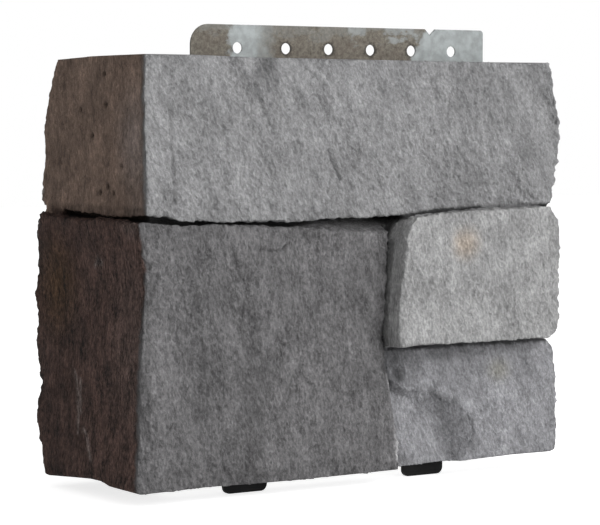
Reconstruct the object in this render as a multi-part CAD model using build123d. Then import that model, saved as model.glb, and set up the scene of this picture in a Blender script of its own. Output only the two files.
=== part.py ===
# Ledger stone corner unit: four split-face stones cast in one L-shaped piece,
# with a nailing flange standing above it and two tabs below it.
# Millimetres. Modelled with the outer corner at x = 0, y = 0 and the stones' foot
# at z = 0: +X along the front leg, +Y back along the return leg, +Z up.
import math
import os
import random

from build123d import *

# The cast unit
front_length = 245.0
return_length = 102.0
course_height = 203.2
front_thickness = 28.0
return_thickness = 33.0

# Courses and joints
course_joint_height = 126.0
middle_joint_height = 61.0
upright_joint_position = 140.0
joint_width = 1.2
joint_depth = 9.0
open_joint_start = 45.0
open_joint_start_drop = 1.8
open_joint_end_drop = 8.4
open_joint_depth = 18.0
open_joint_past_upright = 14.0
tight_joint_depth = 1.5
tight_joint_start = 172.0
tight_joint_inset = 1.5
closed_end_depth = 2.5
closed_end_length = 20.0
closed_end_inset = 3.0
joint_fill_below = 3.0
joint_fill_height = 12.0
backer_inset = 6.0
backer_foot = 12.0
backer_past_joint = 12.0

# Split faces
face_wave = 1.3
return_wave = 0.5
arris_calm = 0.4
face_wave_pitch = 20.0
face_reach = 20.0
face_stock = 5.0
edge_break = 0.8
edge_lean = 20.0
past_corner = -20.0
raised_stone_proud = 12.0
foot_stone_set_back = 0.6
cleft_depth = 6.5

# Nailing flange, a pressed sheet cast into the stone
flange_thickness = 0.8
flange_left = 41.5
flange_length = 177.0
flange_rise = 16.6
flange_cast_in = 22.0
flange_cover = 2.6
flange_left_corner_radius = 10.0
flange_right_corner_radius = 2.0
nail_hole_radius = 2.75
nail_hole_height = 5.4
nail_hole_pitch = 25.4
nail_hole_count = 5
first_nail_hole = 68.1
second_nail_hole = 96.3
notch_position = 184.3
notch_width = 6.5
notch_depth = 3.0

# Tabs below the foot
tab_width = 25.0
tab_thickness = 2.0
tab_drop = 8.2
tab_cast_in = 20.0
tab_corner_radius = 3.5
tab_depth_position = 20.0
left_tab_centre = 70.3
right_tab_centre = 178.2


# How far the joints wander from straight: (share of the run, move in millimetres)
COURSE_JOINT = ((0, 1.8), (0.06, 0.8), (0.09, -0.8), (0.2, -1.2), (0.26, -1.6), (0.34, -2.8))
COURSE_JOINT += ((0.42, -1.4), (0.6, -0.6), (0.7, 1.9), (0.82, 3.4), (1, 3.6))
RETURN_JOINT = ((0, 1.8), (0.1, 1.2), (0.6, 1.4), (0.8, 2), (1, 3.4))
UPRIGHT_JOINT = ((0, 9.5), (0.1, 9.2), (0.25, 4.5), (0.35, 2.4), (0.42, 0), (0.55, -1.2))
UPRIGHT_JOINT += ((0.75, 0.6), (1, 4))
# How many times the joint width the joints open
COURSE_JOINT_WIDTH = ((0, 2.8), (0.06, 2.6), (0.1, 1.7), (0.18, 1.6), (0.22, 2.4), (0.3, 2.2))
COURSE_JOINT_WIDTH += ((0.36, 1.7), (0.45, 1.4), (1, 1))
RETURN_JOINT_WIDTH = ((0, 2.8), (0.13, 2.4), (0.2, 1.7), (0.3, 1.9), (0.42, 1.6), (0.5, 2.2), (0.9, 2.4))
RETURN_JOINT_WIDTH += ((1, 2.2),)
# The undersides of the corner stone: (place along, height)
FRONT_FOOT = ((past_corner, -1.4), (30.0, -0.6), (90.0, -1.2))
RETURN_FOOT = ((past_corner, -1.4), (28.0, -1.2), (36.0, 0.4), (50.0, 0.2), (65.0, -1.0))
# How far the ends stand past the nominal lengths, from the foot of each stone up
TOP_STONE_END = ((0, 2.4), (0.15, 3.8), (0.35, 6.4), (0.6, 4.8), (0.78, 1.6), (0.93, 0.8), (1, -1.2))
RAISED_STONE_END = ((0, -7), (0.06, -4.6), (0.15, -4), (0.5, -4.4), (0.8, -4.4), (0.93, -5), (1, -7))
FOOT_STONE_END = ((0, 5), (0.14, 6.6), (0.5, 5), (0.75, 3.2), (0.93, 1), (1, -2.6))
TOP_STONE_RETURN_END = ((0, -1), (0.08, 1), (0.35, -1.6), (0.5, -1.2), (0.62, -3.6), (0.76, -9.6))
TOP_STONE_RETURN_END += ((0.86, -13), (0.95, -14.6), (1, -17))
LOW_STONE_RETURN_END = ((0, -9.5), (0.05, -7), (0.1, -5), (0.22, 2), (0.36, -3.4), (0.5, 5), (0.6, 1.4))
LOW_STONE_RETURN_END += ((0.68, 5.5), (0.78, 3), (0.92, 3), (1, -3))
# How far the return faces stand back from the nominal plane, from the foot of each stone up
TOP_STONE_SWAY = (3.0, 2.6, 2.2, 1.8, 1.6)
LOW_STONE_SWAY = (-2.2, -0.6, 0.4, 2.4, -1.6)
# Swells and hollows of the front: (x, z, reach across, reach up, rise)
FRONT_SWELLS = (
    (66, 20, 16, 50, 1.8),
    (40, 70, 26, 44, -1.2),
    (104, 62, 26, 50, 0.8),
    (122, 100, 22, 24, -1.0),
    (70, 204, 16, 18, -2.2),
    (176, 200, 22, 16, -1.6),
    (112, 176, 34, 22, 1.0),
    (150, 148, 26, 26, -1.0),
    (205, 160, 30, 30, 1.0),
    (22, 158, 14, 34, -1.0),
    (152, 74, 18, 18, 1.2),
    (205, 100, 30, 20, -1.0),
    (222, 40, 26, 30, 1.2),
)
# The cleft in the foot stone, by its place from the upright joint and the foot: its ridge
# at the face and the far side of the scarp below it
CLEFT_RIDGE = ((-6, 50), (4, 45), (14, 40), (28, 38.5), (38, 33), (50, 27), (57, 18), (55, 9), (45, -8))
CLEFT_FLOOR = ((-6, 45), (2, 41), (11, 36), (22, 32.5), (31, 27), (40, 21), (46, 14), (45, 5), (36, -8))
CLEFT_FAR_CORNER = (-40, -40)


def wander(steps, share):
    """The move of a wandering line at a share of its run."""
    for (a, low), (b, high) in zip(steps, steps[1:]):
        if share <= b:
            return low + (high - low) * (share - a) / (b - a)
    return steps[-1][1]


def course_height_at(x):
    """Height of the middle of the bed joint on the front."""
    return course_joint_height + wander(COURSE_JOINT, max(0.0, x / front_length))


def return_height_at(y):
    """Height of the middle of the bed joint on the return."""
    return course_joint_height + wander(RETURN_JOINT, max(0.0, y / return_length))


def upright_at(z):
    """Position of the middle of the upright joint."""
    return upright_joint_position + wander(UPRIGHT_JOINT, max(0.0, z / course_joint_height))


def end_points(steps, at, low, high):
    """The end of a stone, from its foot to its head."""
    return [(at + move, low + (high - low) * share) for share, move in steps]


def bed_joint(first, last, side):
    """Points along one side of the bed joint on the front: side is 1 above it, -1 below."""
    shares = sorted({share for share, _ in COURSE_JOINT + COURSE_JOINT_WIDTH})
    inner = [share * front_length for share in shares]
    stops = [first] + [x for x in inner if first < x < last] + [last]
    return [(x, course_height_at(x) + side * bed_width_at(x) / 2) for x in stops]


def bed_width_at(x):
    """How wide the bed joint is on the front."""
    return joint_width * wander(COURSE_JOINT_WIDTH, max(0.0, x / front_length))


def return_joint(first, last, side):
    """Points along one side of the bed joint on the return."""
    shares = sorted({share for share, _ in RETURN_JOINT + RETURN_JOINT_WIDTH})
    inner = [share * return_length for share in shares]
    stops = [first] + [y for y in inner if first < y < last] + [last]
    return [(y, return_height_at(y) + side * return_width_at(y) / 2) for y in stops]


def return_width_at(y):
    """How wide the bed joint is on the return."""
    return joint_width * wander(RETURN_JOINT_WIDTH, max(0.0, y / return_length))


def upright_joint(low, high, side):
    """Points up one side of the upright joint: side is 1 right of it, -1 left."""
    inner = [share * course_joint_height for share, _ in UPRIGHT_JOINT]
    stops = [low] + [z for z in inner if low < z < high] + [high]
    return [(upright_at(z) + side * joint_width / 2, z) for z in stops]


def front_block(outline, face, back):
    """A block with an (x, z) outline whose front rim leans in past the face."""
    shoulder = face + edge_break
    wire = Wire.make_polygon([Vector(x, back, z) for x, z in outline])
    block = Solid.extrude(Face(wire), Vector(0, shoulder - back, 0))
    wire = Wire.make_polygon([Vector(x, shoulder, z) for x, z in outline])
    return block + rim_part(Face(wire), Vector(0, -1, 0))


def return_block(outline, face, back):
    """A block with a (y, z) outline whose rim towards -X leans in past the face."""
    shoulder = face + edge_break
    wire = Wire.make_polygon([Vector(back, y, z) for y, z in outline])
    block = Solid.extrude(Face(wire), Vector(shoulder - back, 0, 0))
    wire = Wire.make_polygon([Vector(shoulder, y, z) for y, z in outline])
    return block + rim_part(Face(wire), Vector(-1, 0, 0))


def rim_part(base, outward):
    """The front of a block, leaning in so that the split face has a broken edge."""
    return Solid.extrude_taper(base, outward * (edge_break + face_stock), edge_lean)


def split_waste(along, across, face, outward, seed, sway=(0, 0, 0, 0, 0)):
    """What the splitter takes off in front of a face. Its inner side is wavy, and sway moves
    it back from the foot of the face to its head."""
    chance = random.Random(seed)
    wave = face_wave if outward.Y else return_wave
    grid = []
    for a in stops_between(along):
        line = []
        for z in stops_between(across):
            rise = swell_at(a, z) if outward.Y else 0.0
            share = min(max((z - across[0]) / (across[1] - across[0]), 0.0), 1.0)
            back = wander(tuple(enumerate(sway)), share * (len(sway) - 1))
            calm = arris_calm if a < face_wave_pitch / 2 else 1.0
            level = face + back - (rise + chance.uniform(-wave, wave)) * calm
            line.append(Vector(a, level, z) if outward.Y else Vector(level, a, z))
        grid.append(line)
    surface = Face.make_surface_from_array_of_points(grid, tol=0.05, min_deg=3, max_deg=3)
    return Solid.extrude(surface, outward * 60.0)


def stops_between(ends):
    """Places about one wave pitch apart, from before the first end to past the last."""
    first = ends[0] - face_reach
    run = ends[1] + face_reach - first
    count = max(round(run / face_wave_pitch), 4)
    return [first + run * i / count for i in range(count + 1)]


def swell_at(x, z):
    """How far the swells bring the front forward at a place."""
    rise = 0.0
    for at_x, at_z, reach_x, reach_z, height in FRONT_SWELLS:
        gap = math.hypot((x - at_x) / reach_x, (z - at_z) / reach_z)
        rise += height * math.exp(-gap * gap)
    return rise


def plan_prism(corners, low, high):
    """A prism over an (x, y) outline."""
    wire = Wire.make_polygon([Vector(x, y, low) for x, y in corners])
    return Solid.extrude(Face(wire), Vector(0, 0, high - low))


def leg_plans():
    """The two legs in plan, mitred from the inner corner out past the arris."""
    share = -face_stock / front_thickness
    arris = (return_thickness * share, front_thickness * share)
    inner = (return_thickness, front_thickness)
    right = front_length + face_reach
    rear = return_length + face_reach
    front_leg = (arris, (right, arris[1]), (right, front_thickness), inner)
    return_leg = (arris, inner, (return_thickness, rear), (arris[0], rear))
    return front_leg, return_leg


def backer_plan():
    """The L behind the joints, set in from the split faces and the ends."""
    right = front_length - backer_inset
    rear = return_length - backer_inset
    return (
        (joint_depth, joint_depth),
        (right, joint_depth),
        (right, front_thickness),
        (return_thickness, front_thickness),
        (return_thickness, rear),
        (joint_depth, rear),
    )


def corner_stone(front_outline, return_outline, low, high, seed, sway):
    """A stone that wraps the corner: a leg behind each outline, then both faces split."""
    front_plan, return_plan = leg_plans()
    stone = front_block(front_outline, 0.0, front_thickness)
    stone = stone & plan_prism(front_plan, low - face_reach, high + face_reach)
    side_leg = return_block(return_outline, 0.0, return_thickness)
    stone = stone + (side_leg & plan_prism(return_plan, low - face_reach, high + face_reach))
    stone = stone - split_waste((0, front_length), (low, high), 0.0, Vector(0, -1, 0), seed)
    side = split_waste((0, return_length), (low, high), 0.0, Vector(-1, 0, 0), seed + 1, sway)
    stone = stone - side
    return stone


def top_stone():
    foot = course_joint_height
    head = course_height + 0.4
    front = bed_joint(past_corner, front_length - 1.0, 1)
    front += end_points(TOP_STONE_END, front_length, foot + 4.6, head - 0.4)[1:]
    front += [(front_length * 0.8, head - 0.6), (60.0, head), (30.0, head + 0.8), (past_corner, head + 0.8)]
    back = return_joint(past_corner, return_length - 4.0, 1)
    back += end_points(TOP_STONE_RETURN_END, return_length, foot + 4.6, head - 0.8)
    back += [(return_length / 2, head + 0.4), (0.0, head + 0.8), (past_corner, head + 0.8)]
    return corner_stone(front, back, foot, head, 11, TOP_STONE_SWAY)


def low_stone():
    """The tall lower stone at the corner. Its bed joint opens towards its upright joint."""
    head = course_joint_height
    front = list(FRONT_FOOT)
    front += upright_joint(-0.8, head - 4.0, -1)
    front += list(reversed(bed_joint(past_corner, upright_joint_position - 4.0, -1)))
    back = list(RETURN_FOOT)
    back += end_points(LOW_STONE_RETURN_END, return_length, -3.4, head)
    back += list(reversed(return_joint(past_corner, return_length - 4.0, -1)))
    stone = corner_stone(front, back, 0.0, head, 21, LOW_STONE_SWAY)
    return stone - open_joint(head)


def open_joint(head):
    """The wedge by which the bed joint gapes: it deepens to the right and slopes up to the back."""
    start = Vector(open_joint_start, 0, head - open_joint_start_drop)
    end = Vector(upright_joint_position, 0, head - open_joint_end_drop)
    rear = Vector(upright_joint_position, open_joint_depth, head)
    plane = Plane(origin=start, x_dir=end - start, z_dir=(end - start).cross(rear - start))
    reach = front_length * 2
    wedge = plane * Box(reach, reach, reach, align=(Align.CENTER, Align.CENTER, Align.MIN))
    return wedge & pocket(head)


def pocket(head):
    """The space round the open joint, from the face to its depth."""
    corner = Vector(open_joint_start, -face_stock * 2, head - open_joint_end_drop * 2)
    width = upright_joint_position + open_joint_past_upright - corner.X
    height = open_joint_end_drop * 3
    align = (Align.MIN, Align.MIN, Align.MIN)
    return Pos(corner) * Box(width, open_joint_depth - corner.Y, height, align=align)


def tight_joint():
    """What closes the bed joint a little way behind the face, above the raised stone."""
    low = course_joint_height - joint_fill_below
    corner = Vector(tight_joint_start, tight_joint_depth, low)
    length = front_length - tight_joint_inset - corner.X
    depth = front_thickness - corner.Y
    return Pos(corner) * Box(length, depth, joint_fill_height, align=(Align.MIN, Align.MIN, Align.MIN))


def closed_end():
    """What closes the bed joint behind a shallow groove at the rear end of the return."""
    low = course_joint_height - joint_fill_below
    corner = Vector(closed_end_depth, return_length - closed_end_length, low)
    length = closed_end_length - closed_end_inset
    depth = return_thickness - corner.X
    return Pos(corner) * Box(depth, length, joint_fill_height, align=(Align.MIN, Align.MIN, Align.MIN))


def raised_stone():
    foot = middle_joint_height + joint_width / 2
    head = course_joint_height
    face = -raised_stone_proud
    left = upright_joint(foot, head - 12.0, 1)
    outline = [(front_length - 11.0, foot)]
    outline += end_points(RAISED_STONE_END, front_length, foot + 2.0, head + 1.0)
    outline += list(reversed(bed_joint(upright_at(head) + 7.0, front_length - 9.0, 0)))
    outline += [(upright_at(head) + 3.0, head - 4.0)]
    outline += list(reversed(left))
    block = front_block(outline, face, front_thickness)
    reach = (upright_joint_position, front_length)
    return block - split_waste(reach, (foot, head), face, Vector(0, -1, 0), 31)


def foot_stone():
    """The lower right stone, with a cleft across its lower left part."""
    head = middle_joint_height - joint_width / 2
    left = upright_joint(-0.6, head, 1)
    outline = [(front_length * 0.9, 1.2), (front_length + 2.0, 1.0)]
    outline += end_points(FOOT_STONE_END, front_length, 1.8, head)
    outline += list(reversed(left))
    block = front_block(outline, foot_stone_set_back, front_thickness)
    reach = (upright_joint_position, front_length)
    waste = split_waste(reach, (0.0, head), foot_stone_set_back, Vector(0, -1, 0), 41)
    return block - waste - cleft()


def cleft():
    """What broke away left of and below a bent ridge, with a sloping scarp under the ridge."""
    rims = (
        cleft_rim(CLEFT_RIDGE, foot_stone_set_back - face_stock * 2),
        cleft_rim(CLEFT_RIDGE, foot_stone_set_back),
        cleft_rim(CLEFT_FLOOR, foot_stone_set_back + cleft_depth),
    )
    return Solid.make_loft(rims, ruled=True)


def cleft_rim(points, y):
    """The outline of the cleft at one depth."""
    corners = points + (CLEFT_FAR_CORNER,)
    return Wire.make_polygon([Vector(upright_joint_position + x, y, z) for x, z in corners])


def flange():
    """The nailing flange: a sheet with round holes, a notch and rounded upper corners."""
    rear = front_thickness - flange_cover
    low = course_height - flange_cast_in
    high = course_height + flange_rise
    right = flange_left + flange_length
    outline = [
        (flange_left, low),
        (right, low),
        (right, high),
        (notch_position + notch_width / 2, high),
        (notch_position, high - notch_depth),
        (notch_position - notch_width / 2, high),
        (flange_left, high),
    ]
    wire = Wire.make_polygon([Vector(x, rear, z) for x, z in outline])
    sheet = Solid.extrude(Face(wire), Vector(0, -flange_thickness, 0))
    uprights = sheet.edges().filter_by(Axis.Y)
    left_corner = [e for e in uprights if e.center().X < flange_left + 1 and e.center().Z > high - 1]
    right_corner = [e for e in uprights if e.center().X > right - 1 and e.center().Z > high - 1]
    sheet = sheet.fillet(flange_left_corner_radius, left_corner)
    sheet = sheet.fillet(flange_right_corner_radius, right_corner)
    rows = [first_nail_hole]
    rows += [second_nail_hole + nail_hole_pitch * i for i in range(nail_hole_count)]
    for x in rows:
        hole = Plane(origin=(x, rear + 1.0, course_height + nail_hole_height), z_dir=(0, -1, 0))
        sheet = sheet - hole * Cylinder(nail_hole_radius, front_thickness)
    return sheet


def tab(centre):
    """A tongue cast into the foot, rounded at its free corners."""
    low = -tab_drop
    wire = Wire.make_polygon(
        [
            Vector(centre - tab_width / 2, tab_depth_position, low),
            Vector(centre + tab_width / 2, tab_depth_position, low),
            Vector(centre + tab_width / 2, tab_depth_position, tab_cast_in),
            Vector(centre - tab_width / 2, tab_depth_position, tab_cast_in),
        ]
    )
    tongue = Solid.extrude(Face(wire), Vector(0, tab_thickness, 0))
    corners = [e for e in tongue.edges().filter_by(Axis.Y) if e.center().Z < low + 1]
    return tongue.fillet(tab_corner_radius, corners)


def build():
    backer = plan_prism(backer_plan(), backer_foot, course_joint_height + backer_past_joint)
    backer = backer - open_joint(course_joint_height)
    backer = backer + tight_joint() + closed_end()
    stone = backer + top_stone() + low_stone() + raised_stone() + foot_stone()
    nailing = flange()
    left_tab = tab(left_tab_centre)
    right_tab = tab(right_tab_centre)
    for insert in (nailing, left_tab, right_tab):
        stone = stone - insert
    return {
        "cast_stone_corner": stone,
        "nailing_flange": nailing,
        "locating_tab_left": left_tab,
        "locating_tab_right": right_tab,
    }


def main():
    pieces = build()
    boxes = [piece.bounding_box() for piece in pieces.values()]
    left = min(box.min.X for box in boxes)
    right = max(box.max.X for box in boxes)
    front = min(box.min.Y for box in boxes)
    rear = max(box.max.Y for box in boxes)
    foot = min(box.min.Z for box in boxes)
    home = Pos(-(left + right) / 2, -(front + rear) / 2, -foot)
    os.makedirs("parts", exist_ok=True)
    for name, piece in pieces.items():
        export_step(home * piece.solid(), f"parts/{name}.step")
    print("moved by", home.position)


main()
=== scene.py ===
# Ledger stone corner unit: relief and finish for the cast stone, its flange and its tabs.
import math

import bmesh
import bpy
import numpy as np
from mathutils import Matrix, Vector, noise


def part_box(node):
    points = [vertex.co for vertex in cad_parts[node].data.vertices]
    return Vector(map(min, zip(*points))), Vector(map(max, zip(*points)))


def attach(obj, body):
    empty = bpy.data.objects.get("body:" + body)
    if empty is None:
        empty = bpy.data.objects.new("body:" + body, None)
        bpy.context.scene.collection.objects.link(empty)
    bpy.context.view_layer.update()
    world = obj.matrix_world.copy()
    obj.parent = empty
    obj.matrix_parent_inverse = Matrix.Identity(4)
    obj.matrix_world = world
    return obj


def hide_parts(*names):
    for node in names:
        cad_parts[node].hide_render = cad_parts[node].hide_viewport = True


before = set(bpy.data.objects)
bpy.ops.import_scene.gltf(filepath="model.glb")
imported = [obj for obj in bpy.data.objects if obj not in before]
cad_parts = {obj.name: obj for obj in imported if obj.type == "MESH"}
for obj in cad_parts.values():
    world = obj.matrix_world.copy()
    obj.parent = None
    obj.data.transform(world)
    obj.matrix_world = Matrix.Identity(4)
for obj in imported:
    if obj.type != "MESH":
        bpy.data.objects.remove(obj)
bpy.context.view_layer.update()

MM = 0.001

# The unit's own measure, in millimetres from the foot of its outer corner
TAB_LEFT_EDGE = 57.8
TAB_FRONT = 20.0
TAB_DROP = 8.2
COURSE_HEIGHT = 203.2
COURSE_JOINT = 126.0
MIDDLE_JOINT = 61.0
UPRIGHT_JOINT = 140.0
FRONT_LENGTH = 245.0
RETURN_LENGTH = 102.0
FRONT_THICKNESS = 28.0
RETURN_THICKNESS = 33.0
RAISED_FACE = -12.0
# The stones, in the order in which lists give their values
TOP, LOW, RAISED, FOOT = range(4)
# How far the joints wander from straight: (share of the run, move)
BED_WANDER = ((0, 1.8), (0.06, 0.8), (0.09, -0.8), (0.2, -1.2), (0.26, -1.6), (0.34, -2.8))
BED_WANDER += ((0.42, -1.4), (0.6, -0.6), (0.7, 1.9), (0.82, 3.4), (1, 3.6))
SIDE_BED_WANDER = ((0, 1.8), (0.1, 1.2), (0.6, 1.4), (0.8, 2), (1, 3.4))
UPRIGHT_WANDER = ((0, 9.5), (0.1, 9.2), (0.25, 4.5), (0.35, 2.4), (0.42, 0), (0.55, -1.2))
UPRIGHT_WANDER += ((0.75, 0.6), (1, 4))
# Left of this place the bed joint follows its line on the return
RETURN_LINE_ENDS = 1.0

tab_low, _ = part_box("locating_tab_left")
corner_foot = Vector(tab_low) - Vector((TAB_LEFT_EDGE, TAB_FRONT, -TAB_DROP)) * MM


def place(x, y, z):
    """A point of the unit's own measure, in the row frame, in metres."""
    return corner_foot + Vector((x, y, z)) * MM


# Camera: a long lens well back, left of the corner
CAMERA_PLACE = (-583.0, -1003.1, 180.9)
CAMERA_YAW = math.radians(33.8)
CAMERA_PITCH = math.radians(-3.6)
CAMERA_ROLL = math.radians(0.2)
CAMERA_LENS = 150.0
CAMERA_FILM_WIDTH = 36.0
CAMERA_NEAR = 0.05
CAMERA_FAR = 50.0


def make_camera():
    """Places the camera where the photo was taken from."""
    data = bpy.data.cameras.new("camera")
    data.lens = CAMERA_LENS
    data.sensor_width = CAMERA_FILM_WIDTH
    data.clip_start = CAMERA_NEAR
    data.clip_end = CAMERA_FAR
    camera = bpy.data.objects.new("camera", data)
    bpy.context.collection.objects.link(camera)
    look = Vector(
        (
            math.sin(CAMERA_YAW) * math.cos(CAMERA_PITCH),
            math.cos(CAMERA_YAW) * math.cos(CAMERA_PITCH),
            math.sin(CAMERA_PITCH),
        )
    )
    level = Vector((math.cos(CAMERA_YAW), -math.sin(CAMERA_YAW), 0.0))
    rise = level.cross(look)
    right = level * math.cos(CAMERA_ROLL) + rise * math.sin(CAMERA_ROLL)
    up = rise * math.cos(CAMERA_ROLL) - level * math.sin(CAMERA_ROLL)
    turn = Matrix((right, up, -look)).transposed()
    camera.matrix_world = Matrix.Translation(place(*CAMERA_PLACE)) @ turn.to_4x4()
    bpy.context.scene.camera = camera


# Shares and noise over many places at once

FAR_AWAY = 1e9


def ramp(values, start, end):
    """0 at start, 1 at end, eased between them."""
    share = np.clip((values - start) / (end - start), 0.0, 1.0)
    return share * share * (3.0 - 2.0 * share)


def over_run(values, run):
    """1 in the middle of a run, eased in and out: start, full, last full, end."""
    return ramp(values, run[0], run[1]) * (1.0 - ramp(values, run[2], run[3]))


def near_line(across, up, points, width):
    """1 on a line through points, falling to 0 at width from it."""
    nearest = np.full(len(across), FAR_AWAY)
    for (a, b), (c, d) in zip(points, points[1:]):
        run = (c - a) ** 2 + (d - b) ** 2
        share = np.clip(((across - a) * (c - a) + (up - b) * (d - b)) / run, 0.0, 1.0)
        gap = np.hypot(across - a - share * (c - a), up - b - share * (d - b))
        nearest = np.minimum(nearest, gap)
    return 1.0 - ramp(nearest, 0.0, width)


def near_spot(across, up, at, reach):
    """1 at a spot, falling to 0 at its reach across and up."""
    gap = np.hypot((across - at[0]) / reach[0], (up - at[1]) / reach[1])
    return 1.0 - ramp(gap, 0.0, 1.0)


def fractal(x, y, z, octaves):
    """Soft noise of about -1 to 1."""
    return noise.fractal(Vector((x, y, z)), 1.0, 2.0, octaves, noise_basis="PERLIN_ORIGINAL")


def creased(x, y, z, octaves):
    """Noise of about -1 to 1 with sharp ridges and round hollows."""
    return 1.0 - 2.6 * abs(fractal(x, y, z, octaves))


def sampled(function, *rows):
    """function of each row of numbers, as an array."""
    points = np.column_stack(rows)
    return np.fromiter((function(*point) for point in points.tolist()), float, len(points))


def flat_noise(across, up, size, seed, octaves):
    """Soft noise on a face, with lumps of a size across and up in millimetres."""
    wide, high = size
    return sampled(lambda a, b: fractal(a / wide, b / high, seed, octaves), across, up)


def solid_noise(m, size, octaves):
    """Soft noise in space, with lumps of a size per axis in millimetres."""
    wide, deep, high = size
    return sampled(lambda x, y, z: fractal(x / wide, y / deep, z / high, octaves), m.x, m.y, m.z)


# The stones and the joints between them


def share_line(steps, start, run):
    """Places and moves of a wandering line that runs on from start."""
    return [start + share * run for share, _ in steps], [move for _, move in steps]


def joint_lines(at):
    """Height of the bed joint and position of the upright joint at each place."""
    x, y, z = at.T
    bed = COURSE_JOINT + np.interp(x, *share_line(BED_WANDER, 0.0, FRONT_LENGTH))
    side_bed = COURSE_JOINT + np.interp(y, *share_line(SIDE_BED_WANDER, 0.0, RETURN_LENGTH))
    bed = np.where(x < RETURN_LINE_ENDS, side_bed, bed)
    upright = UPRIGHT_JOINT + np.interp(z, *share_line(UPRIGHT_WANDER, 0.0, COURSE_JOINT))
    return bed, upright


def which_stone(at):
    """The stone that each place belongs to."""
    x, z = at[:, 0], at[:, 2]
    bed, upright = joint_lines(at)
    right = (z <= bed) & (x > upright)
    stone = np.where(z > bed, TOP, LOW)
    stone = np.where(right & (z > MIDDLE_JOINT), RAISED, stone)
    return np.where(right & (z <= MIDDLE_JOINT), FOOT, stone)


# How squarely a vertex faces a way to count as on that face, from not at all to fully
FACING = (0.35, 0.8)
END_FACING = (0.2, 0.6)
RIM_FACING = (0.4, 0.8)
FLOOR_FACING = (0.3, 0.7)
# How far behind the faces and the ends of the legs their relief reaches
FRONT_REACH = 7.5
RETURN_REACH = 8.0
RAISED_SIDE_REACH = 12.0
REAR_END_REACH = 18.0
RIGHT_END_REACH = 14.0
# How far from their lines the joints and the rims reach: the bed joint lies a little below its line
BED_BAND = 8.0
BED_BAND_DROP = 3.0
NARROW_BAND = 2.4
RIM_BAND = 5.0
RIM_DEPTH = 5.0
# How far the painted shade of the joints keeps from the back, the ends and the level edges
BACK_MARGIN = 2.0
RIGHT_MARGIN = 8.0
REAR_MARGIN = 10.0
EDGE_MARGIN = 6.0
# How deep in a joint its painted shade begins, and where it is full
SHADE_DEPTHS = (1.5, 5.0)
# The floor of the open joint catches light, so it loses part of its painted shade from here on, up to
# just past the upright joint
OPEN_FLOOR_START = (85.0, 110.0)
OPEN_FLOOR_PAST = 2.0
OPEN_FLOOR_LIGHT = 0.65


class Measure:
    """Where each vertex is, in the unit's own measure, and which way it faces."""

    def __init__(self, mesh):
        count = len(mesh.vertices)
        places = np.empty(count * 3)
        mesh.vertices.foreach_get("co", places)
        ways = np.empty(count * 3)
        mesh.vertices.foreach_get("normal", ways)
        self.at = (places.reshape(-1, 3) - np.array(corner_foot)) / MM
        self.way = ways.reshape(-1, 3)
        self.x, self.y, self.z = self.at.T
        self.round_corner = self.x - self.y
        self.stone = which_stone(self.at)
        self.find_faces()
        self.find_joints()

    def find_faces(self):
        """How far each vertex belongs to the front, the return, the raised side and the ends."""
        front = ramp(-self.way[:, 1], *FACING)
        side = ramp(-self.way[:, 0], *FACING)
        face = np.where(self.stone == RAISED, RAISED_FACE, 0.0)
        self.on_front = front * (self.y < face + FRONT_REACH)
        self.on_return = side * (self.x < RETURN_REACH)
        by_upright = self.x < UPRIGHT_JOINT + RAISED_SIDE_REACH
        self.on_raised_side = side * (self.stone == RAISED) * by_upright
        rear = (self.y > RETURN_LENGTH - REAR_END_REACH) * ramp(self.way[:, 1], *END_FACING)
        right = (self.x > FRONT_LENGTH - RIGHT_END_REACH) * ramp(self.way[:, 0], *END_FACING)
        self.on_ends = np.maximum(rear, right)

    def find_joints(self):
        """How far each vertex belongs to the rims of the bed joint and to the joints' painted shade."""
        bed, upright = joint_lines(self.at)
        depth = np.minimum(self.y, self.x)
        near_bed = np.abs(self.z - bed + BED_BAND_DROP) < BED_BAND
        near_upright = (np.abs(self.x - upright) < NARROW_BAND) & (self.z < bed)
        near_middle = (np.abs(self.z - MIDDLE_JOINT) < NARROW_BAND) & (self.x > upright)
        inside = (self.y < FRONT_THICKNESS - BACK_MARGIN) | (self.x < RETURN_THICKNESS - BACK_MARGIN)
        ends_apart = (self.x < FRONT_LENGTH - RIGHT_MARGIN) & (self.y < RETURN_LENGTH - REAR_MARGIN)
        height_apart = (self.z > EDGE_MARGIN) & (self.z < COURSE_HEIGHT - EDGE_MARGIN)
        level = ramp(np.abs(self.way[:, 2]), *RIM_FACING)
        rims = level * (np.abs(self.z - bed) < RIM_BAND) * height_apart
        self.on_joint_rims = rims * (depth < RIM_DEPTH)
        in_joint = (near_bed | near_upright | near_middle) & inside & ends_apart & height_apart
        floor = ramp(self.way[:, 2], *FLOOR_FACING) * ramp(self.x, *OPEN_FLOOR_START)
        floor = floor * (self.x < upright + OPEN_FLOOR_PAST)
        # Painted shade deep in the joints, lighter on the open joint's floor
        self.painted_joint_shade = ramp(depth, *SHADE_DEPTHS) * in_joint * (1.0 - OPEN_FLOOR_LIGHT * floor)


# Relief of the split texture, the marks and the rims, in millimetres

# Layers of the split texture: size across and along the streaks, part of the noise, octaves, height
FLAKES = (14.0, 22.0, 9.0, 3, 0.4)
LUMPS = (4.4, 6.0, 17.0, 4, 1.0)
STREAKS = (1.9, 2.5, 21.0, 3, 0.8)
# How far the streaks lean from the upright on the top, low, raised and foot stones, in degrees
STREAK_LEAN = (26.0, 10.0, 14.0, 20.0)
# How far apart in the noise the stones are
STONE_SEED = 37.0
# The split texture is softer by the top stone's corner, on the foot stone and in its cleft
CORNER_CALM = 0.6
CORNER_CALM_RANGE = (9.0, 15.0)
FOOT_CALM = 0.3
CLEFT_CALM = 0.35
CLEFT_LINE = ((150.0, 30.0), (172.0, 26.0), (186.0, 14.0))
CLEFT_REACH = 24.0
# Noise of the cast faces and broken edges: size of its lumps and octaves
COARSE = ((9.0, 9.0, 6.0), 4)
FINE = ((2.6, 2.6, 2.6), 2)
RAGGED = ((3.6, 3.6, 3.0), 3)
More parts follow.
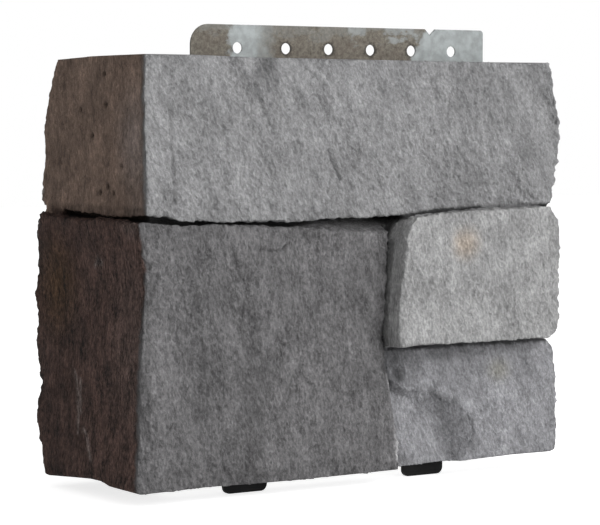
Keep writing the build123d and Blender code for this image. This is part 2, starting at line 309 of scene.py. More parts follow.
# How high the coarse and the fine noise stand on these faces
RETURN_RISES = (0.35, 0.12)
RAISED_SIDE_RISES = (0.5, 0.2)
END_RISES = (0.9, 0.3)
# The bed joint's rims: how ragged they are, and runs where they stand closer
RAGGED_RISE = 0.9
RAGGED_SINK = 0.15
NARROW_ON_FRONT = (34.0, 42.0, 66.0, 74.0)
NARROW_FRONT_RISE = 0.6
NARROW_ON_RETURN = (14.0, 20.0, 42.0, 50.0)
NARROW_RETURN_RISE = 0.7
# How far the raised stone's lower rim is broken away upwards, by place along it, and where it is
RAISED_RIM_PLACES = (142.0, 152.0, 160.0, 167.0, 174.0, 182.0, 192.0, 197.0, 202.0, 237.0, 245.0)
RAISED_RIM_LIFTS = (0.0, 0.8, 1.8, 0.9, 0.6, 1.2, 1.1, 1.8, 1.3, 1.3, 0.6)
RAISED_RIM_BACK = -1.0
RAISED_RIM_TOP = MIDDLE_JOINT + 4.0
# Chips of the outer corner's arris: how wide and deep it reaches, and how the noise cuts it
ARRIS_WIDTH = 3.0
ARRIS_DEPTH = 2.0
CHIP_START = 0.1
CHIP_DEPTH = 1.6

# Cracks and steps on the front: points (x, z), width, depth
FRONT_MARKS = (
    (((15.0, 178.0), (16.0, 165.0), (17.0, 150.0), (18.5, 131.0)), 2.0, 0.7),
    (((63.0, 191.0), (66.0, 184.0), (70.0, 172.0)), 1.8, 0.8),
    (((105.0, 159.0), (108.0, 152.0), (112.0, 145.0)), 1.5, 1.1),
    (((161.0, 184.0), (168.0, 175.0), (174.0, 170.0)), 3.4, 0.3),
    (((200.0, 182.0), (206.0, 172.0), (214.0, 165.0)), 3.4, 0.3),
    (((65.0, 112.0), (71.0, 111.2), (78.0, 111.0), (83.0, 114.5)), 1.2, 0.9),
    (((98.0, 103.0), (104.0, 97.0)), 1.4, 0.4),
    (((162.0, 120.0), (166.0, 121.5), (170.0, 123.0)), 1.4, 0.3),
)
# Dents in the front: place (x, z), reach across and up, depth
FRONT_DENTS = (
    ((69.0, 197.5), (10.0, 9.0), 1.2),
    ((113.0, 200.0), (3.5, 4.0), 0.7),
    ((180.0, 199.0), (9.0, 6.0), 0.8),
    ((133.0, 198.0), (6.0, 4.0), 0.6),
    ((204.0, 183.0), (4.0, 4.0), 0.6),
    ((247.0, 172.0), (5.0, 6.0), 1.0),
    ((66.0, 117.0), (4.0, 4.0), 0.4),
    ((147.0, 47.0), (4.5, 4.0), 1.6),
    ((157.5, 94.5), (2.0, 2.4), 0.9),
    ((185.0, 95.5), (1.8, 2.2), 0.7),
)
# Thin standing ridges: points (x, z), width, height
FRONT_RIDGES = (
    (((92.0, 203.0), (100.0, 195.0), (105.0, 188.0)), 1.6, 0.6),
    (((160.0, 193.0), (168.0, 190.5), (180.0, 190.0)), 1.6, 0.5),
    (((146.0, 176.0), (154.0, 166.0), (160.0, 154.0), (168.0, 140.0)), 3.0, 0.4),
    (((141.0, 47.0), (144.0, 38.0), (147.0, 25.0), (148.3, 12.0), (149.2, 3.0)), 1.2, 0.7),
    (((66.0, 113.0), (70.0, 120.0), (77.0, 119.0)), 1.4, 0.5),
    (((70.5, 2.0), (70.0, 20.0), (71.0, 34.0), (77.0, 44.0)), 2.2, 0.5),
)
# Cast pits and scratches on the return: (distance back, z)
RETURN_PITS = ((37.0, 195.5), (36.5, 181.0), (62.5, 178.5), (51.0, 166.0), (37.0, 142.0), (32.0, 139.0))
RETURN_PITS += ((44.0, 139.0), (23.0, 152.0))
RETURN_SCRATCHES = (
    ((64.5, 51.0), (61.0, 40.0), (59.5, 22.0)),
    ((59.5, 48.0), (58.0, 32.0)),
    ((54.0, 24.0), (51.0, 22.0)),
    ((50.0, 20.0), (45.0, 10.0)),
    ((46.0, 104.0), (43.0, 107.0)),
    ((41.0, 104.5), (39.0, 106.0)),
)
PIT_REACH = (2.0, 2.0)
PIT_DEPTH = 1.2
SCRATCH_WIDTH = 1.0
SCRATCH_DEPTH = 0.35


def leaning(across, up, degrees):
    """Coordinates across and along streaks that lean from the upright by degrees."""
    turn = math.radians(degrees)
    return (
        across * math.cos(turn) + up * math.sin(turn),
        up * math.cos(turn) - across * math.sin(turn),
    )


def layer(function, side, along, seed, kind):
    """Height of one layer of the split texture at a place."""
    wide, long, start, octaves, rise = kind
    return function(side / wide, along / long, seed + start, octaves) * rise


def split_relief(across, up, seed, lean):
    """Height of a split face at a place: flakes, lumps and leaning streaks."""
    side, along = leaning(across, up, lean)
    flakes = layer(creased, side, along, seed, FLAKES)
    lumps = layer(fractal, side, along, seed, LUMPS)
    streaks = layer(fractal, side, along, seed, STREAKS)
    return flakes + lumps + streaks


def calmed(m, height):
    """The split texture, softer by the corner, on the foot stone and in its cleft."""
    near_corner = 1.0 - CORNER_CALM * (1.0 - ramp(m.x, *CORNER_CALM_RANGE)) * (m.stone == TOP)
    in_cleft = near_line(m.x, m.z, CLEFT_LINE, CLEFT_REACH)
    on_foot = 1.0 - (FOOT_CALM + CLEFT_CALM * in_cleft) * (m.stone == FOOT)
    return height * near_corner * on_foot


def front_marks(m):
    """What the marks take off the front."""
    sunk = np.zeros(len(m.x))
    for points, width, depth in FRONT_MARKS:
        sunk += near_line(m.x, m.z, points, width) * depth
    for at, reach, depth in FRONT_DENTS:
        sunk += near_spot(m.x, m.z, at, reach) * depth
    for points, width, rise in FRONT_RIDGES:
        sunk -= near_line(m.x, m.z, points, width) * rise
    return sunk


def return_marks(m):
    """What pits and scratches take off the return."""
    sunk = np.zeros(len(m.x))
    for at in RETURN_PITS:
        sunk += near_spot(m.y, m.z, at, PIT_REACH) * PIT_DEPTH
    for points in RETURN_SCRATCHES:
        sunk += near_line(m.y, m.z, points, SCRATCH_WIDTH) * SCRATCH_DEPTH
    return sunk


def narrowing(m):
    """How much closer the bed joint's rims stand where it is narrow."""
    narrow = over_run(m.x, NARROW_ON_FRONT) * NARROW_FRONT_RISE
    narrow += over_run(m.y, NARROW_ON_RETURN) * (m.x < RETURN_REACH) * NARROW_RETURN_RISE
    return narrow


def broken_rim(m):
    """What is broken away from the raised stone's lower rim."""
    rim = ramp(-m.way[:, 2], *END_FACING) * (m.stone == RAISED) * (m.y < RAISED_RIM_BACK)
    return np.interp(m.x, RAISED_RIM_PLACES, RAISED_RIM_LIFTS) * (rim * (m.z < RAISED_RIM_TOP))


def corner_chips(m, coarse):
    """What is chipped off the outer corner's arris."""
    arris = (np.abs(m.round_corner) < ARRIS_WIDTH) * (m.x < ARRIS_DEPTH) * (m.y < ARRIS_DEPTH)
    return np.maximum(coarse - CHIP_START, 0.0) * CHIP_DEPTH * arris


def rough(coarse, fine, rises):
    """Coarse and fine noise, each to its height."""
    return coarse * rises[0] + fine * rises[1]


def relief(m):
    """How far each vertex of the stone moves out along its normal, and the split texture."""
    leans = np.array(STREAK_LEAN)[m.stone]
    height = sampled(split_relief, m.round_corner, m.z, m.stone * STONE_SEED, leans)
    height -= height[m.on_front > 0.5].mean()
    coarse = solid_noise(m, *COARSE)
    fine = solid_noise(m, *FINE)
    move = (calmed(m, height) - front_marks(m)) * m.on_front
    move += (rough(coarse, fine, RETURN_RISES) - return_marks(m)) * m.on_return
    move += rough(coarse, fine, RAISED_SIDE_RISES) * m.on_raised_side
    move += rough(coarse, fine, END_RISES) * m.on_ends
    move += (solid_noise(m, *RAGGED) * RAGGED_RISE - RAGGED_SINK) * m.on_joint_rims
    move += narrowing(m) * m.on_joint_rims
    move -= broken_rim(m)
    move -= corner_chips(m, coarse)
    return move, height


# The stone's mesh

VOXEL = 0.62 * MM
MOST_TRIANGLES = 190000
# What closes the pockets of the cast-in pieces: how far past them, and how far inside the stone
PLUG_MARGIN = 0.6
PLUG_BELOW_TOP = 1.5
PLUG_ABOVE_FOOT = 2.0
SMOOTHING = 0.5
SMOOTHING_ROUNDS = 2
# How far inside the box of its node the stone stays
BOX_MARGIN = 0.03 * MM


def plug(mesh, low, high):
    """Adds a box to the mesh, so that a cast-in piece's pocket closes when it is remeshed."""
    bm = bmesh.new()
    bm.from_mesh(mesh)
    middle = (Vector(low) + Vector(high)) / 2
    size = Vector(high) - Vector(low)
    turn = Matrix.Translation(middle) @ Matrix.Diagonal((*size, 1.0))
    bmesh.ops.create_cube(bm, size=1.0, matrix=turn)
    bm.to_mesh(mesh)
    bm.free()


def close_pockets(mesh):
    """Closes the pockets of the flange and the tabs, up to just inside the stone."""
    margin = Vector((PLUG_MARGIN, PLUG_MARGIN, PLUG_MARGIN)) * MM
    sideways = Vector((margin.x, margin.y, 0.0))
    low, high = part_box("nailing_flange")
    top = place(0, 0, COURSE_HEIGHT - PLUG_BELOW_TOP).z
    plug(mesh, low - margin, Vector((high.x, high.y, top)) + sideways)
    foot = place(0, 0, PLUG_ABOVE_FOOT).z
    for name in ("locating_tab_left", "locating_tab_right"):
        low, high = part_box(name)
        plug(mesh, Vector((low.x, low.y, foot)) - sideways, high + margin)


def evaluated(obj):
    """The mesh of an object with its modifiers applied."""
    graph = bpy.context.evaluated_depsgraph_get()
    return bpy.data.meshes.new_from_object(obj.evaluated_get(graph))


def with_modifier(obj, kind, **settings):
    """Applies one modifier to the object's mesh."""
    modifier = obj.modifiers.new(kind.lower(), kind)
    for key, value in settings.items():
        setattr(modifier, key, value)
    mesh = evaluated(obj)
    obj.modifiers.clear()
    obj.data = mesh


def keep_inside(mesh, name):
    """Holds every vertex inside the box of a node."""
    low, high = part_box(name)
    places = np.empty(len(mesh.vertices) * 3)
    mesh.vertices.foreach_get("co", places)
    places = np.clip(places.reshape(-1, 3), np.array(low) + BOX_MARGIN, np.array(high) - BOX_MARGIN)
    mesh.vertices.foreach_set("co", places.ravel())
    mesh.update()


def make_stone():
    """The cast stone with its relief and colours, in place of the CAD's."""
    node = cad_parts["cast_stone_corner"]
    stone = bpy.data.objects.new("split_face_stone", node.data.copy())
    bpy.context.collection.objects.link(stone)
    close_pockets(stone.data)
    with_modifier(stone, "REMESH", mode="VOXEL", voxel_size=VOXEL, use_smooth_shade=True)
    with_modifier(stone, "SMOOTH", factor=SMOOTHING, iterations=SMOOTHING_ROUNDS)
    mesh = stone.data
    measure = Measure(mesh)
    move, height = relief(measure)
    moved = measure.at + measure.way * move[:, None]
    places = moved * MM + np.array(corner_foot)
    mesh.vertices.foreach_set("co", places.ravel())
    mesh.update()
    paint_stone(mesh, measure, height)
    triangles = sum(len(face.vertices) - 2 for face in mesh.polygons)
    if triangles > MOST_TRIANGLES:
        with_modifier(stone, "DECIMATE", ratio=MOST_TRIANGLES / triangles, use_collapse_triangulate=True)
    keep_inside(stone.data, "cast_stone_corner")
    for face in stone.data.polygons:
        face.use_smooth = True
    stone.data.materials.clear()
    stone.data.materials.append(stone_material())
    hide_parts("cast_stone_corner")
    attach(stone, "root")
    return stone


# Colours of the stone


def linear(red, green, blue):
    """Linear light for a colour given as 0 to 255 on a screen."""
    parts = []
    for value in (red, green, blue):
        share = value / 255.0
        parts.append(share / 12.92 if share <= 0.04045 else ((share + 0.055) / 1.055) ** 2.4)
    return np.array(parts)


STONE_TINTS = (
    linear(143, 143, 144),
    linear(108, 107, 108),
    linear(156, 156, 156),
    linear(145, 145, 148),
)
RETURN_UPPER = linear(124, 106, 95)
RETURN_LOWER = linear(76, 60, 55)
OCHRE = linear(84, 63, 40)
GREY_BLOOM = linear(126, 116, 112)
CEMENT = linear(150, 148, 144)
STAIN = linear(184, 160, 132)
OLIVE_STAIN = linear(140, 138, 124)
# How strongly the grain shows on the top, low, raised and foot stones, the return and the back
STONE_GRAIN = (1.0, 1.35, 0.95, 1.1)
RETURN_UPPER_GRAIN = 1.25
RETURN_LOWER_GRAIN = 3.1
CAST_BACK_GRAIN = 0.35
# How far round the corner the brown of the return reaches, by height, and how its edge wanders
BROWN_EDGE_HEIGHTS = (0.0, 50.0, 62.0, 95.0, 110.0, 117.0, 126.0, 129.0, 203.0)
BROWN_EDGE_REACHES = (-3.5, -4.0, -3.0, 1.6, 1.6, -0.5, -2.5, 0.2, 0.0)
BROWN_EDGE_RAGGED = 1.5
BROWN_EDGE_SOFT = 1.0
BROWN_EDGE_DEPTH = 12.0
# Broad tones of the front, many of them painted shade, shadow and highlights: stone, points (x, z),
# reach, change of brightness
FRONT_TONES_AND_PAINTED_LIGHT = (
    # Top stone: darker over its dents and towards its upper right, with a painted highlight along the
    # corner
    (TOP, ((68.0, 197.0), (70.0, 200.0)), 10.5, -0.42),
    (TOP, ((113.0, 200.0), (113.0, 201.0)), 5.0, -0.14),
    (TOP, ((176.0, 199.0), (184.0, 199.0)), 7.0, -0.12),
    (TOP, ((131.0, 198.0), (136.0, 198.0)), 5.0, -0.10),
    (TOP, ((107.0, 184.0), (109.0, 176.0)), 8.0, 0.08),
    (TOP, ((6.0, 198.0), (7.0, 134.0)), 7.0, 0.07),
    (TOP, ((200.0, 196.0), (236.0, 190.0)), 22.0, -0.07),
    (TOP, ((204.0, 190.0), (224.0, 166.0)), 16.0, -0.14),
    (TOP, ((176.0, 150.0), (180.0, 140.0)), 14.0, -0.06),
    (TOP, ((247.0, 175.0), (247.0, 168.0)), 5.0, -0.25),
    # Low stone: painted shade on a facet turned from the light and painted light on the ridge beside it,
    # painted shadow by the raised stone along its right edge, and painted highlights on the chipped rim
    # by the upright joint
    (LOW, ((61.0, 78.0), (60.0, 40.0), (62.0, 0.0)), 14.0, -0.20),
    (LOW, ((71.0, 2.0), (70.0, 20.0), (72.0, 36.0), (84.0, 60.0)), 7.0, 0.24),
    (LOW, ((94.0, 60.0), (86.0, 8.0)), 22.0, 0.12),
    (LOW, ((16.0, 110.0), (14.0, 10.0)), 14.0, 0.10),
    (LOW, ((132.0, 90.0), (136.0, 66.0)), 14.0, -0.10),
    (LOW, ((140.0, 66.0), (140.0, 48.0)), 11.0, -0.26),
    (LOW, ((130.0, 116.0), (141.0, 114.0)), 7.0, 0.16),
    (LOW, ((140.8, 47.5), (141.6, 43.5), (142.6, 40.5)), 1.7, 1.3),
    (LOW, ((146.0, 24.0), (147.2, 19.0)), 1.6, 0.7),
    (LOW, ((147.4, 19.0), (148.0, 10.0), (148.6, 4.0)), 1.9, 1.4),
    (LOW, ((143.0, 5.0), (147.0, 3.0)), 1.8, 0.6),
    (LOW, ((5.2, 47.0), (5.4, 44.5)), 1.4, 0.9),
    (LOW, ((98.0, 3.0), (70.0, 3.0)), 7.0, -0.10),
    # Raised stone: painted shade in its two pits
    (RAISED, ((143.0, 76.0), (155.0, 69.0)), 11.0, 0.12),
    (RAISED, ((184.0, 84.0), (188.0, 72.0)), 14.0, 0.06),
    (RAISED, ((226.0, 120.0), (240.0, 112.0)), 13.0, -0.10),
    (RAISED, ((157.5, 94.5), (157.5, 95.0)), 2.6, -0.3),
    (RAISED, ((185.0, 95.5), (185.0, 96.0)), 2.2, -0.25),
    # Foot stone: painted shadow under and beside the raised stone, painted shade on the cleft's scarp and
    # below its upper edge, painted highlights along its ridge and right of it, and painted shadow in the
    # lower left corner and by the low stone
    (FOOT, ((146.0, 56.0), (176.0, 57.0)), 10.0, -0.34),
    (FOOT, ((176.0, 49.0), (230.0, 47.0)), 18.0, -0.11),
    (FOOT, ((176.0, 57.5), (236.0, 58.5)), 6.0, -0.20),
    (FOOT, ((144.0, 57.0), (147.0, 47.0)), 13.0, -0.30),
    (FOOT, ((146.0, 47.5), (149.0, 46.0)), 5.0, -0.35),
    (FOOT, ((150.0, 44.0), (160.0, 39.5), (170.0, 37.5), (176.0, 34.5)), 2.8, -0.20),
    (FOOT, ((176.0, 29.0), (187.0, 19.0), (188.0, 7.0)), 15.0, -0.27),
    (FOOT, ((160.0, 50.0), (172.0, 46.0)), 14.0, -0.07),
    (FOOT, ((222.0, 40.0), (226.0, 20.0)), 16.0, 0.06),
    (FOOT, ((204.0, 18.0), (206.0, 8.0)), 8.0, 0.16),
    (FOOT, ((174.0, 38.5), (188.0, 32.0), (198.0, 24.0), (200.0, 15.0)), 3.4, 0.16),
    (FOOT, ((154.0, 4.0), (160.0, 4.0)), 7.0, -0.22),
    (FOOT, ((149.0, 38.0), (151.0, 6.0)), 7.0, -0.16),
    (FOOT, ((224.0, 6.0), (240.0, 6.0)), 9.0, -0.12),
    (FOOT, ((214.0, 30.0), (236.0, 34.0)), 18.0, 0.05),
)
# Stains on the front: stone, colour, place (x, z), reach, share
FRONT_STAINS = (
    (RAISED, STAIN, (181.0, 112.0), (13.0, 12.0), 0.45),
    (FOOT, OLIVE_STAIN, (211.0, 46.0), (11.0, 9.0), 0.5),
)
# Painted shade and light on the front: change of its brightness per millimetre of relief, darker in
# hollows and lighter on ridges, of a mark's depth and a ridge's rise
RELIEF_PAINTED_LIGHT = 0.08
RELIEF_PAINTED_LIGHT_LIMIT = 2.0
MARK_PAINTED_SHADE = 0.45
RIDGE_PAINTED_LIGHT = 0.24
# Painted shade in the joints, black slits where they are deep: points (x, z), width
PAINTED_SHADE_SLITS = (
    (((144.0, 42.0), (144.4, 34.0)), 1.8),
    (((150.2, 15.0), (150.6, 2.0)), 1.8),
)
# Painted shade and shadow below, above and beside the raised stone: where it begins and is full, and its
# strength
UNDER_RAISED = (-2.6, -1.4)
UNDER_RAISED_WOBBLE = 0.7
UNDER_RAISED_LEAST = 0.3
UNDER_RAISED_START = (152.0, 160.0)
UNDER_RAISED_DEPTH = 4.0
UNDER_RAISED_SHADE = 0.9
ABOVE_RAISED = (0.8, 1.8)
ABOVE_RAISED_WOBBLE = 0.3
ABOVE_RAISED_PLACES = (UPRIGHT_JOINT, 198.0, 200.0, 230.0, 233.0)
ABOVE_RAISED_SHADES = (1.0, 1.0, 0.45, 0.45, 1.0)
ABOVE_RAISED_FACE = -2.5
BESIDE_RAISED = (0.4, 1.3)
BESIDE_RAISED_FACE = -2.0
BESIDE_RAISED_SHADE = 0.7
# Patches on the return: colour, place (distance back, z), reach, share on the top stone and below it
RETURN_PATCHES = (
    (OCHRE, (84.0, 92.0), (28.0, 36.0), 0.0, 0.6),
    (GREY_BLOOM, (10.0, 163.0), (24.0, 40.0), 0.7, 0.0),
    (GREY_BLOOM, (8.0, 128.0), (16.0, 14.0), 0.3, 0.3),
    (GREY_BLOOM, (8.0, 70.0), (34.0, 60.0), 0.0, 0.12),
)
# Dark crumbs where the bed joint closes at the rear of the return
RUBBLE = linear(48, 34, 29)
RUBBLE_LINE = ((92.0, 128.5), (80.0, 128.0), (74.0, 127.0))
RUBBLE_WIDTH = 5.0
RUBBLE_SPOTS = (-0.3, 0.1)
RUBBLE_SHARE = 0.9
# Brightness of the return: clouds and mottle, darker at its rear below, painted shade in its pits, a
# darker chip and pale scratches
CLOUD_SHADE = 0.28
MOTTLE_SHADE = 0.26
REAR_SHADE = 0.2
REAR_SHADE_START = (45.0, 75.0)
PIT_PAINTED_SHADE_REACH = (2.3, 2.5)
CHIP_LINE = ((55.0, 20.0), (50.0, 12.0))
CHIP_WIDTH = 3.0
CHIP_SHADE = 0.4
SCRATCH_TONE_WIDTH = 1.6
SCRATCH_SHARE = 0.75
SHADE_LIMITS = (0.15, 3.0)
# Noise in the colours: size of its lumps, part of the noise and octaves
CLOUDS = ((17.0, 24.0), 3.0, 4)
MOTTLE = ((4.0, 6.0), 8.0, 4)
DRIFT = ((22.0, 20.0), 5.0, 3)
WOBBLE = ((5.0, 5.0), 6.0, 3)
NOISE_LIMIT = 0.8
DRIFT_TONE = 0.20
# The cast back: how it faces, how far back it begins, and how far right it is the return leg's
BACK_FACING = (0.3, 0.7)
BACK_BEGINS = 20.0
INSIDE_ENDS = 40.0
# How much of their brightness the joints lose to painted shade
JOINT_PAINTED_SHADE = 0.85


def blended(colour, towards, share):
    """Moves the colours towards another by a share for each vertex."""
    return colour + (towards - colour) * share[:, None]


def limited(values, limit):
    """Values held between minus and plus a limit."""
    return np.clip(values, -limit, limit)


def front_tones_and_painted_light(m, height):
    """Brightness of the front by place: painted shade in hollows and marks, painted light on ridges, and
    broad patches, many of them painted shade and highlights.
    """
    tone = 1.0 + limited(height, RELIEF_PAINTED_LIGHT_LIMIT) * RELIEF_PAINTED_LIGHT
    for stone, points, reach, change in FRONT_TONES_AND_PAINTED_LIGHT:
        tone += change * near_line(m.x, m.z, points, reach) * (m.stone == stone)
    for points, width, depth in FRONT_MARKS:
        tone -= MARK_PAINTED_SHADE * depth * near_line(m.x, m.z, points, width)
    for points, width, rise in FRONT_RIDGES:
        tone += RIDGE_PAINTED_LIGHT * rise * near_line(m.x, m.z, points, width)
    return tone


def painted_shadow_under_raised(m, wobble):
    """Painted shadow of the middle joint under the raised stone."""
    start, full = (MIDDLE_JOINT + reach + wobble * UNDER_RAISED_WOBBLE for reach in UNDER_RAISED)
    dark = ramp(m.z, start, full)
    dark *= UNDER_RAISED_LEAST + (1.0 - UNDER_RAISED_LEAST) * ramp(m.x, *UNDER_RAISED_START)
    return dark * (m.stone == FOOT) * (m.y < UNDER_RAISED_DEPTH) * UNDER_RAISED_SHADE


def painted_shade_above_raised(m, bed, wobble):
    """Painted shade of the tight joint over the raised stone."""
    dark = 1.0 - ramp(np.abs(m.z - bed - wobble * ABOVE_RAISED_WOBBLE), *ABOVE_RAISED)
    along = np.interp(m.x, ABOVE_RAISED_PLACES, ABOVE_RAISED_SHADES)
    return dark * along * (m.x > UPRIGHT_JOINT) * (m.y > ABOVE_RAISED_FACE)


def painted_shade_beside_raised(m, bed, upright):
    """Painted shade of the upright joint left of the raised stone."""
    dark = 1.0 - ramp(np.abs(m.x - upright), *BESIDE_RAISED)
    dark = dark * (m.z > MIDDLE_JOINT) * (m.z < bed) * (m.y > BESIDE_RAISED_FACE)
    return dark * BESIDE_RAISED_SHADE


def painted_crevice_shade(m, wobble):
    """1 in the painted shade of the clefts between stones that lie close to the face."""
    bed, upright = joint_lines(m.at)
    dark = sum(near_line(m.x, m.z, points, width) for points, width in PAINTED_SHADE_SLITS)
    dark = np.maximum(dark, painted_shadow_under_raised(m, wobble))
    dark = np.maximum(dark, painted_shade_above_raised(m, bed, wobble))
    dark = np.maximum(dark, painted_shade_beside_raised(m, bed, upright))
    return np.clip(dark, 0.0, 1.0) * (m.y < FRONT_THICKNESS - BACK_MARGIN)


def return_shade(m, clouds, mottle):
    """Brightness of the return by place, with painted shade in its pits."""
    shade = 1.0 + limited(clouds, NOISE_LIMIT) * CLOUD_SHADE + limited(mottle, NOISE_LIMIT) * MOTTLE_SHADE
    shade -= REAR_SHADE * ramp(m.y, *REAR_SHADE_START) * (m.stone != TOP)
    # Painted shade in the cast pits
    shade -= sum(near_spot(m.y, m.z, at, PIT_PAINTED_SHADE_REACH) for at in RETURN_PITS)
    shade -= CHIP_SHADE * near_line(m.y, m.z, CHIP_LINE, CHIP_WIDTH)
    return np.clip(shade, *SHADE_LIMITS)


def return_colours(m, clouds, mottle):
    """Colours of the return, brown above and darker below, with ochre and grey bloom."""
    top = m.stone == TOP
    brown = np.where(top[:, None], RETURN_UPPER, RETURN_LOWER)
    for colour, at, reach, above, below in RETURN_PATCHES:
        brown = blended(brown, colour, near_spot(m.y, m.z, at, reach) * np.where(top, above, below))
    rubble = near_line(m.y, m.z, RUBBLE_LINE, RUBBLE_WIDTH) * ramp(mottle, *RUBBLE_SPOTS)
    brown = blended(brown, RUBBLE, rubble * RUBBLE_SHARE)
    scratched = sum(near_line(m.y, m.z, points, SCRATCH_TONE_WIDTH) for points in RETURN_SCRATCHES)
    brown = blended(brown, GREY_BLOOM, np.clip(scratched, 0.0, 1.0) * SCRATCH_SHARE)
    return brown * return_shade(m, clouds, mottle)[:, None]


def cast_back(m):
    """1 on the back faces of both legs."""
    behind = ramp(m.way[:, 1], *BACK_FACING)
    behind = behind + ramp(m.way[:, 0], *BACK_FACING) * (m.x < INSIDE_ENDS)
    return np.clip(behind, 0.0, 1.0) * (m.y > BACK_BEGINS)


def store_values(mesh, name, values):
    """Keeps one value for each vertex, which the stone's material reads."""
    layer = mesh.attributes.new(name, "FLOAT", "POINT")
    layer.data.foreach_set("value", values)


def paint_stone(mesh, m, height):
    """Gives each vertex its colour, with painted shade and light in it, the strength of its grain and the
    lean of its streaks.
    """
    clouds = flat_noise(m.y, m.z, *CLOUDS)
    mottle = flat_noise(m.y, m.z, *MOTTLE)
    drift = flat_noise(m.x, m.z, *DRIFT)
    wobble = flat_noise(m.x, m.z, *WOBBLE)
    colour = np.array(STONE_TINTS)[m.stone] * front_tones_and_painted_light(m, height)[:, None]
    for stone, tint, at, reach, share in FRONT_STAINS:
        colour = blended(colour, tint, near_spot(m.x, m.z, at, reach) * (m.stone == stone) * share)
    colour = colour * (1.0 + limited(drift, NOISE_LIMIT) * DRIFT_TONE)[:, None]
    edge = np.interp(m.z, BROWN_EDGE_HEIGHTS, BROWN_EDGE_REACHES) + mottle * BROWN_EDGE_RAGGED
    on_front = ramp(m.round_corner, edge - BROWN_EDGE_SOFT, edge + BROWN_EDGE_SOFT)
    on_return = (1.0 - on_front) * (m.x < BROWN_EDGE_DEPTH)
    colour = blended(colour, return_colours(m, clouds, mottle), on_return)
    behind = cast_back(m)
    colour = blended(colour, CEMENT, behind)
    # Painted shade deep in the joints, and painted shade and shadow in the clefts by the raised stone
    colour = colour * (1.0 - JOINT_PAINTED_SHADE * m.painted_joint_shade)[:, None]
    colour = colour * (1.0 - JOINT_PAINTED_SHADE * painted_crevice_shade(m, wobble))[:, None]
    grain = np.array(STONE_GRAIN)[m.stone]
    return_grain = np.where(m.stone == TOP, RETURN_UPPER_GRAIN, RETURN_LOWER_GRAIN)
    grain = grain + (return_grain - grain) * on_return
    grain = grain + (CAST_BACK_GRAIN - grain) * behind
    layer = mesh.color_attributes.new("stone_colour_with_painted_light", "FLOAT_COLOR", "POINT")
    layer.data.foreach_set("color", np.column_stack((colour, np.ones(len(colour)))).ravel())
    store_values(mesh, "stone_grain", grain)
    lean = np.radians(-np.array(STREAK_LEAN))[m.stone]
    store_values(mesh, "stone_lean", lean * (1.0 - on_return))


# Materials

# The range that most of a noise node's values lie in
NOISE_RANGE = (0.3, 0.7)


class Shader:
    """A material's node tree, with short calls for the nodes used here."""

    def __init__(self, name):
        self.material = bpy.data.materials.new(name)
        self.material.use_nodes = True
        self.nodes = self.material.node_tree.nodes
        self.links = self.material.node_tree.links
        self.surface = self.nodes["Principled BSDF"]

    def add(self, kind, inputs=None, **settings):
        """A new node with its settings and inputs."""
        node = self.nodes.new(kind)
        for key, value in settings.items():
            setattr(node, key, value)
        for key, value in (inputs or {}).items():
            self.feed(node, key, value)
        return node

    def feed(self, node, key, value):
        """Gives an input a value, or links another node's output to it."""
        if hasattr(value, "is_output"):
            self.links.new(value, node.inputs[key])
        else:
            node.inputs[key].default_value = value

    def grain(self, size, turn=(0.0, 0.0, 0.0)):
        """Object coordinates for grain of a size per axis in millimetres, turned in radians."""
        coordinates = self.add("ShaderNodeTexCoord")
        mapping = self.add(
            "ShaderNodeMapping",
            {
                "Vector": coordinates.outputs["Object"],
                "Scale": tuple(part * MM for part in size),
                "Rotation": turn,
            },
            vector_type="TEXTURE",
        )
        return mapping.outputs["Vector"]

    def noise(self, vector, detail=4.0, roughness=0.6):
        """Noise of about 0.3 to 0.7 over grain coordinates."""
        node = self.add(
            "ShaderNodeTexNoise",
            {"Vector": vector, "Scale": 1.0, "Detail": detail, "Roughness": roughness},
        )
        return node.outputs["Fac"]

    def between(self, value, low, high, start=0.0, end=1.0):
        """value from low to high, carried to start to end."""
        node = self.add(
            "ShaderNodeMapRange",
            {"Value": value, "From Min": low, "From Max": high, "To Min": start, "To Max": end},
        )
        return node.outputs["Result"]

    def spread(self, value, reach):
        """A noise value, carried to minus reach to reach."""
        return self.between(value, *NOISE_RANGE, -reach, reach)

    def mix(self, share, first, second, blend="MIX"):
        """Two colours blended by a share."""
        node = self.add("ShaderNodeMix", data_type="RGBA", blend_type=blend)
        self.feed(node, 0, share)
        self.feed(node, 6, first)
        self.feed(node, 7, second)
        return node.outputs[2]

    def math(self, operation, first, second):
        """One step of arithmetic on two values."""
        node = self.add("ShaderNodeMath", operation=operation)
        self.feed(node, 0, first)
        self.feed(node, 1, second)
        return node.outputs[0]

    def bump(self, height, distance, strength=1.0, normal=None):
        """A normal roughened by a height, on top of another if one is given."""
        inputs = {"Height": height, "Distance": distance, "Strength": strength}
        if normal is not None:
            inputs["Normal"] = normal
        return self.add("ShaderNodeBump", inputs).outputs["Normal"]

    def finish(self, colour, roughness, metallic=0.0, normal=None):
        """Feeds the surface, and gives back the material."""
        self.feed(self.surface, "Base Color", colour)
        self.feed(self.surface, "Roughness", roughness)
        self.feed(self.surface, "Metallic", metallic)
        if normal is not None:
            self.feed(self.surface, "Normal", normal)
        return self.material


def rgba(red, green, blue):
    """A screen colour as a shader takes it."""
    return (*[float(part) for part in linear(red, green, blue)], 1.0)


# Grain of the stone: sizes in millimetres, and how much each lightens and darkens
FIBRE_SIZE = (1.2, 1.2, 2.4)
STRAND_SIZE = (2.6, 2.6, 8.0)
STRIPE_SIZE = (6.0, 6.0, 16.0)
SAND_SIZE = (0.6, 0.6, 0.6)
FIBRE_LIGHT = 0.62
FIBRE_DARK = 0.27
STRAND_SHADE = 0.10
STRIPE_SHADE = 0.20
SAND_SHADE = 0.08
STONE_LEVEL = 0.93
STONE_LEAST = 0.12
FIBRE_BUMP = 0.0020
SAND_BUMP = 0.0005
STONE_SPECULAR = 0.15
STONE_ROUGHNESS = (0.82, 0.95)


